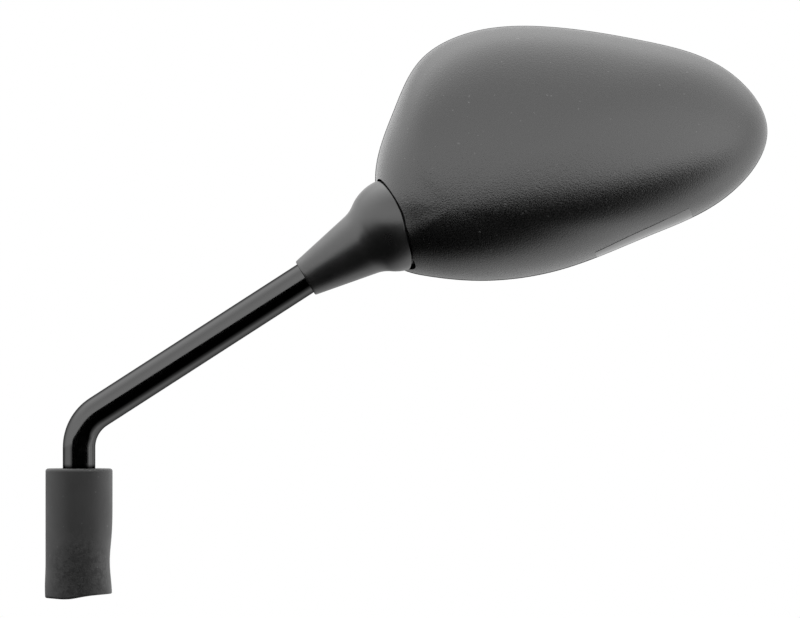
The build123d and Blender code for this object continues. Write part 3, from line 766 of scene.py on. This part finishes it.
class MIRROR_OT_stem(bpy.types.Operator):
    """Build the bent stem with its turned neck and the rolled thread of its stud"""
    bl_idname = "mirror.stem"
    bl_label = "Stem"

    def execute(self, context):
        # rings stand square to an axis that runs up, round one arc and on to the ball
        sizes = context.scene.mirror_sizes
        columns = STEM_COLUMNS
        rise = math.atan2(ALONG[2], ALONG[0])
        turn = math.pi / 2 - rise
        tangent = STEM_BEND * math.tan(turn / 2)
        low = STEM_CORNER - tangent
        curve = STEM_BEND * turn
        reach = np.linalg.norm(BALL - STEM_CORNER * UPRIGHT)
        travel, size = self.profile(low + curve + reach - tangent)
        past = np.clip((travel - low) / STEM_BEND, 0, turn)
        heading = math.pi / 2 - past
        beyond = np.clip(travel - low - curve, 0, None)
        centre_x = STEM_BEND * (1 - np.cos(past)) + beyond * math.cos(rise)
        centre_z = np.minimum(travel, low) + STEM_BEND * np.sin(past) + beyond * math.sin(rise)
        angle = np.linspace(0, 2 * np.pi, columns, endpoint=False)
        wide = np.broadcast_to(size[:, None], (len(size), columns)).copy()
        # the thread's groove runs round once a pitch, between flat crests
        thread = (travel[:, None] / sizes.thread_pitch - angle / (2 * np.pi)) % 1.0
        groove = np.clip(np.abs(thread - 0.5) * 2.6 - 0.3, 0, 1) * sizes.thread_depth
        wide -= groove * self.threaded(travel)[:, None]
        out = wide * np.cos(angle)
        points = np.stack([
            centre_x[:, None] - out * np.sin(heading)[:, None], wide * np.sin(angle),
            centre_z[:, None] + out * np.cos(heading)[:, None]], axis=-1)
        ends = np.array([[centre_x[k], 0, centre_z[k]] for k in (0, -1)])
        mesh_points = np.vstack([points.reshape(-1, 3), ends])
        piece = new_piece("stem", mesh_points, grid_faces(len(size), columns), end_fans(len(size), columns))
        colours = context.scene.mirror_colours
        # the stud's faces and the fan at its foot take the second finish
        bare = np.repeat(travel[:-1] < SHOULDER - 0.2, columns)
        bare = np.concatenate([bare, np.arange(2 * columns) < columns])
        piece.data.polygons.foreach_set("material_index", bare.astype(np.int32))
        stud = plain_metal("stud_zinc", colours.zinc, 0.3)
        fasten(piece, "stem", "stem_rod", gloss_paint(colours), stud)
        return {"FINISHED"}

    @staticmethod
    def threaded(travel):
        """1 on the stud's two threaded stretches, faded at the tip and the groove."""
        free = step(STUD_FOOT + 0.1, STUD_FOOT + 1.7, travel) * step(0.0, 0.5, -travel)
        nut = step(GROOVE_TOP, GROOVE_TOP + 0.5, travel) * step(0.0, 0.6, SHOULDER - 0.1 - travel)
        return np.maximum(free, nut)

    @staticmethod
    def profile(ball_at):
        """Distance along the axis and radius there: stud, groove, bar, taper and neck."""
        def bar(start, end, count, radius):
            """Even distances at one radius."""
            return np.stack([np.linspace(start, end, count), np.full(count, radius)], axis=1)

        line = np.vstack([
            [(STUD_FOOT, 3.2), (STUD_FOOT + 0.05, 3.75), (STUD_FOOT + 1.2, STUD_RADIUS)],
            bar(STUD_FOOT + 1.3, -0.02, 180, STUD_RADIUS),
            bar(0.0, GROOVE_TOP, 2, GROOVE_RADIUS),
            bar(GROOVE_TOP + 0.02, SHOULDER - 0.02, 110, STUD_RADIUS),
            [(SHOULDER, 5.3), (SHOULDER + 0.2, STEM_RADIUS)],
            bar(SHOULDER + 0.8, ball_at - 13.2, 150, STEM_RADIUS),
            [(ball_at - 13.0, STEM_RADIUS)],
            bar(ball_at - 10.5, ball_at + 4.5, 2, TURNED_RADIUS)])
        return line[:, 0], line[:, 1]


class MIRROR_OT_sleeve(bpy.types.Operator):
    """Build the rubber sleeve over the nut, with its chamfer, dent and uneven foot"""
    bl_idname = "mirror.sleeve"
    bl_label = "Lower sleeve"

    def execute(self, context):
        sizes = context.scene.mirror_sizes
        outer, bore, hole = SLEEVE_RADIUS, SLEEVE_BORE, SLEEVE_HOLE
        top, roof, foot = SLEEVE_TOP, SLEEVE_ROOF, SLEEVE_FOOT
        profile = np.vstack([
            straight((hole + 0.2, top), (outer - 1.1, top), 8),
            arc((outer - 1.0, top - 1.0), 1.0, 85, 0, 9),
            straight((outer, top - 1.3), (outer, foot + 0.6), 90),
            arc((outer - 0.6, foot + 0.6), 0.6, 0, -90, 5),
            straight((outer - 0.9, foot), (bore + 0.4, foot), 3),
            arc((bore + 0.3, foot + 0.3), 0.3, 270, 180, 4),
            straight((bore, foot + 0.6), (bore, roof), 60),
            straight((bore, roof), (hole, roof), 6),
            straight((hole, roof), (hole, top - 0.2), 6), [(hole, top - 0.2)]])
        points = turned(profile, SLEEVE_COLUMNS, np.zeros(3), UPRIGHT, RIGHT, DEPTH)
        x, z = points[..., 0], points[..., 2]
        # the foot runs uphill to the right and sags left of its middle
        reach = np.clip((roof - z) / (roof - foot), 0, 1)
        points[..., 2] = z + reach**2 * (0.06 * x - 0.9 * np.exp(-((x + 4) / 6) ** 2))
        # the right wall is pressed in below its middle
        press = np.exp(-((z + 14.5) / 9.0) ** 2) * step(0.1, 1.0, x / outer) * sizes.sleeve_dent
        bulge = 0.25 * np.exp(-((z + 24.0) / 5.0) ** 2) * step(0.2, 1.0, -x / outer)
        points[..., 0] = x - press - bulge
        # the front leans in towards the foot
        points[..., 1] += 0.8 * step(8.0, 30.0, -z) * step(0.0, 1.0, -points[..., 1] / outer)
        piece = new_piece("sleeve", points, grid_faces(len(profile), SLEEVE_COLUMNS, True))
        colour = context.scene.mirror_colours.sleeve
        smudge = (SMUDGE_CENTRE, SMUDGE_REACH)
        rubber = smooth_rubber("sleeve_rubber", colour, 0.5, 0.5, 0.6, smudge)
        fasten(piece, "lower_sleeve", "nut_boot", rubber)
        return {"FINISHED"}


class MIRROR_OT_glass(bpy.types.Operator):
    """Build the convex glass and the rubber seal round it"""
    bl_idname = "mirror.glass"
    bl_label = "Glass and seal"

    def execute(self, context):
        # rings of the outline drawn in towards the middle, on a sphere, and a square edge below them
        columns = GLASS_COLUMNS
        rim, inward = head_outline(columns)
        middle = GLASS_MIDDLE

        def crown(flat):
            """Height of the glass sphere over a flat point."""
            away = ((flat - middle) ** 2).sum(-1)
            return GLASS_FRONT_Y - GLASS_CURVE + np.sqrt(GLASS_CURVE**2 - away)

        spread = np.concatenate([np.linspace(0.03, 0.975, 34), [0.994]])[:, None, None]
        edge = rim + GLASS_INSET * inward
        front = middle + (edge - middle) * spread
        face = np.stack([front[..., 0], crown(front), front[..., 1]], axis=-1)
        rim_line = np.stack([edge[:, 0], crown(edge), edge[:, 1]], axis=-1)
        drops = np.array([0.35, 1.1, GLASS_THICKNESS])[:, None, None]
        rows = np.concatenate([face, rim_line - drops * DEPTH])
        levels = (GLASS_FRONT_Y, GLASS_FRONT_Y - GLASS_THICKNESS)
        poles = np.array([[middle[0], level, middle[1]] for level in levels])
        fans = end_fans(len(rows), columns)[:, ::-1]
        quads = grid_faces(len(rows), columns)[:, ::-1]
        mesh_points = np.vstack([rows.reshape(-1, 3), poles])
        glass = new_piece("glass", mesh_points, quads, fans, GLASS_SHARP_ANGLE)
        fasten(glass, "head", "mirror_glass", silvered_glass(context.scene.mirror_colours))

        # the seal's section, a foot under a round bead, follows the outline at the glass's own height
        outer, lip = SEAL_INSETS
        sweep = np.radians(np.linspace(0, 180, 13))
        half = (lip - outer) / 2
        bead = np.stack([outer + half - half * np.cos(sweep), SEAL_BEAD * np.sin(sweep)], axis=1)
        section = np.vstack([
            [(outer, SEAL_FOOT), (outer, SEAL_FOOT + 1.7)], bead, [(lip, -0.02), (lip - 0.5, SEAL_FOOT)]])
        flat = rim + section[:, 0, None, None] * inward
        level = crown(rim + GLASS_INSET * inward) + section[:, 1, None]
        ring = np.stack([flat[..., 0], level, flat[..., 1]], axis=-1)
        seal = new_piece("seal", ring, grid_faces(len(section), columns, True))
        rubber = smooth_rubber("seal_rubber", (0.018, 0.018, 0.018), 0.5, 0.1, 0.5)
        fasten(seal, "head", "glass_seal", rubber)
        return {"FINISHED"}


class MIRROR_OT_fittings(bpy.types.Operator):
    """Give every CAD node that stays its finish"""
    bl_idname = "mirror.fittings"
    bl_label = "Fittings"

    def execute(self, context):
        colours = context.scene.mirror_colours
        zinc = plain_metal("zinc_plate", colours.zinc, 0.32)
        steel = plain_metal("turned_steel", (0.50, 0.49, 0.47), 0.28)
        cast = plain_metal("cast_alloy", (0.62, 0.62, 0.63), 0.45)
        nylon = plain_moulding("nylon", colours.nylon, 0.4)
        black = plain_moulding("holder_moulding", (0.03, 0.03, 0.03), 0.5)
        foam = plain_moulding("pad_foam", (0.05, 0.05, 0.05), 0.9)
        finishes = {
            "lock_nut": zinc, "plain_washer": zinc, "spring_washer": zinc, "bracket_screws": zinc,
            "holder_screws": zinc, "pivot_ball": steel, "ball_pin": steel, "pressure_spring": steel,
            "socket_plug": steel, "socket_bracket": cast, "front_seat": nylon, "rear_seat": nylon,
            "glass_holder": black, "glass_pad": foam,
        }
        for node, material in finishes.items():
            mesh = frame["nodes"][node].data
            mesh.materials.clear()
            mesh.materials.append(material)
        return {"FINISHED"}


class MIRROR_OT_stage(bpy.types.Operator):
    """Set the pale floor, the studio light and the camera"""
    bl_idname = "mirror.stage"
    bl_label = "Stage"

    def execute(self, context):
        sizes = context.scene.mirror_sizes
        self.floor(sizes.floor_drop)
        self.cards()
        self.light(context)
        camera = bpy.data.cameras.new("camera")
        camera.sensor_width = 36.0
        frame_width = PICTURE_WIDTH / PIXELS_PER_MM * MM
        camera.lens = camera.sensor_width * (sizes.camera_distance + SCALE_Y * MM) / frame_width
        across, down = (PICTURE_CENTRE - ORIGIN_PIXEL) / PIXELS_PER_MM * MM
        holder = bpy.data.objects.new("camera", camera)
        holder.location = (across, -sizes.camera_distance, -down)
        holder.rotation_euler = (math.pi / 2, 0, 0)
        context.scene.collection.objects.link(holder)
        context.scene.camera = holder
        context.scene.view_settings.view_transform = "Standard"
        return {"FINISHED"}

    @staticmethod
    def floor(drop):
        """Round pale floor that fades out at its edge and lets a low view through."""
        rings, columns = 24, 96
        profile = np.stack([np.linspace(0.01, FLOOR_RADIUS, rings), np.full(rings, -drop / MM)], axis=1)
        points = turned(profile, columns, FLOOR_CENTRE * RIGHT, UPRIGHT, RIGHT, DEPTH)
        piece = new_piece("floor", points, grid_faces(rings, columns)[:, ::-1])
        material, tree, shader = new_finish("pale_floor", (0.5, 0.5, 0.5), 0.7, Specular_IOR_Level=0.0)
        near = nearness(tree, (FLOOR_CENTRE, 0.0, 0.0), (FLOOR_RADIUS, FLOOR_RADIUS, math.inf))
        below = tree.nodes.new("ShaderNodeNewGeometry").outputs["Backfacing"]
        seen = times(tree, remap(tree, near, 0.02, 0.6, 0.0, 1.0), combine(tree, "SUBTRACT", 1.0, below))
        tree.links.new(seen, shader.inputs["Alpha"])
        piece.data.materials.append(material)
        piece.visible_glossy = False
        piece.visible_diffuse = False

    def cards(self):
        """White card that runs along the right front, round a quarter circle and back, over a
        slanting lower edge, and a black flag across the front, below the soft box."""
        corner = np.array([CARD_SIDE_X - CARD_ROUND, CARD_FRONT_Y + CARD_ROUND])
        path = np.vstack([
            straight((CARD_START_X, CARD_FRONT_Y), (corner[0], CARD_FRONT_Y), 26),
            arc(corner, CARD_ROUND, -90, 0, 12),
            np.linspace((CARD_SIDE_X, corner[1]), (CARD_SIDE_X, CARD_END_Y), 20)[1:]])
        run = np.concatenate([[0.0], np.cumsum(np.linalg.norm(np.diff(path, axis=0), axis=1))])
        self.card("white_card", path, np.interp(run, *CARD_LOW), CARD_TOP, np.interp(run, *CARD_GLOW))
        posts = 12
        path = np.linspace(FLAG_START, FLAG_END, posts)
        self.card("black_flag", path, np.full(posts, FLAG_LOW), FLAG_TOP, np.zeros(posts))

    @staticmethod
    def card(name, path, low, top, level):
        """Upright sheet over a path in X and Y, from its lower edge to a level top, that glows
        by its level and shows in gloss alone."""
        edges = (low, np.full(len(path), top))
        points = np.stack([np.column_stack([path, edge]) for edge in edges])
        piece = new_piece(name, points, grid_faces(2, len(path))[:-1])
        mark(piece, "level", np.tile(level, 2))
        material = bpy.data.materials.new(name)
        material.use_nodes = True
        tree = material.node_tree
        glow = tree.nodes.new("ShaderNodeEmission")
        strength = tree.nodes.new("ShaderNodeAttribute")
        strength.attribute_name = "level"
        tree.links.new(strength.outputs["Fac"], glow.inputs["Strength"])
        tree.links.new(glow.outputs["Emission"], tree.nodes["Material Output"].inputs["Surface"])
        piece.data.materials.append(material)
        piece.visible_camera = piece.visible_diffuse = piece.visible_transmission = False
        piece.visible_shadow = False

    @staticmethod
    def light(context):
        """Studio round the object: a large soft box over and behind the camera, a white
        sweep behind the object, darkness below the camera. The camera sees plain white."""
        world = bpy.data.worlds.new("studio")
        context.scene.world = world
        world.use_nodes = True
        tree = world.node_tree
        parts = tree.nodes.new("ShaderNodeSeparateXYZ")
        way = tree.nodes.new("ShaderNodeTexCoord").outputs["Generated"]
        tree.links.new(way, parts.inputs["Vector"])
        across, back, up = (parts.outputs[axis] for axis in "XYZ")
        # the soft box lies over a plane that tips back a little, and is brighter overhead
        tilt = math.radians(2)
        over = combine(tree, "ADD", times(tree, up, math.cos(tilt)), times(tree, back, math.sin(tilt)))
        lift = times(tree, remap(tree, up, 0.4, 0.9, 0.0, 1.0), remap(tree, back, -0.5, 0.4, -0.2, 0.7))
        box = times(tree, remap(tree, over, -0.005, 0.03, 0.0, 1.6), combine(tree, "ADD", lift, 1.0))
        # the sweep reaches forward at the lower right, dims to the left and glows at the far right
        skew = times(tree, across, remap(tree, up, -0.1, -0.4, 0.0, 0.65))
        reach = remap(tree, combine(tree, "ADD", back, skew), -0.3, 0.45, 0.0, 1.0)
        rise = times(tree, remap(tree, back, 0.4, 0.75, 0.0, 1.0), remap(tree, across, 0.5, 0.95, 0.0, 0.8))
        sweep = times(
            tree, reach, reach, remap(tree, across, -0.25, 0.1, 0.15, 1.0),
            remap(tree, across, 0.0, 0.4, 0.74, 1.0), remap(tree, across, 0.2, 0.7, 1.0, 1.1),
            combine(tree, "ADD", rise, 1.0))
        # side lights, and less of the front towards the back
        level_up = remap(tree, up, -0.25, -0.05, 0.0, 1.0)
        left = times(tree, remap(tree, across, -0.7, -0.95, 0.0, 1.2), level_up)
        right = remap(tree, across, 0.88, 1.0, 0.0, 1.1)
        front = combine(tree, "MAXIMUM", box, combine(tree, "MAXIMUM", left, right))
        front = times(tree, front, remap(tree, back, 0.4, 0.8, 1.0, 0.73))
        studio = combine(tree, "MAXIMUM", front, sweep)
        path = tree.nodes.new("ShaderNodeLightPath")
        plain = combine(tree, "MAXIMUM", path.outputs["Is Camera Ray"], path.outputs["Is Transmission Ray"])
        level = tree.nodes.new("ShaderNodeMix")
        tree.links.new(plain, level.inputs["Factor"])
        tree.links.new(studio, level.inputs["A"])
        level.inputs["B"].default_value = 1.0
        background = tree.nodes["Background"]
        background.inputs["Color"].default_value = (1.0, 1.0, 1.0, 1.0)
        tree.links.new(level.outputs["Result"], background.inputs["Strength"])


class MIRROR_PT_sidebar(bpy.types.Panel):
    """Lists the mirror's pieces and settings"""
    bl_idname = "MIRROR_PT_sidebar"
    bl_label = "Motorcycle mirror"
    bl_space_type = "VIEW_3D"
    bl_region_type = "UI"
    bl_category = "Mirror"

    def draw(self, context):
        for operator in OPERATORS:
            self.layout.operator(operator.bl_idname)
        for group in (context.scene.mirror_sizes, context.scene.mirror_colours):
            for name in group.bl_rna.properties.keys():
                if name not in {"rna_type", "name"}:
                    self.layout.prop(group, name)


OPERATORS = (
    MIRROR_OT_housing, MIRROR_OT_neck_cover, MIRROR_OT_stem, MIRROR_OT_sleeve,
    MIRROR_OT_glass, MIRROR_OT_fittings, MIRROR_OT_stage,
)
CLASSES = (MirrorSizes, MirrorColours, *OPERATORS, MIRROR_PT_sidebar)


def register():
    for item in CLASSES:
        bpy.utils.register_class(item)
    bpy.types.Scene.mirror_sizes = PointerProperty(type=MirrorSizes)
    bpy.types.Scene.mirror_colours = PointerProperty(type=MirrorColours)


def unregister():
    del bpy.types.Scene.mirror_colours
    del bpy.types.Scene.mirror_sizes
    for item in reversed(CLASSES):
        bpy.utils.unregister_class(item)


def main():
    register()
    bpy.ops.mirror.housing()
    bpy.ops.mirror.neck_cover()
    bpy.ops.mirror.stem()
    bpy.ops.mirror.sleeve()
    bpy.ops.mirror.glass()
    bpy.ops.mirror.fittings()
    bpy.ops.mirror.stage()


if __name__ == "__main__":
    main()
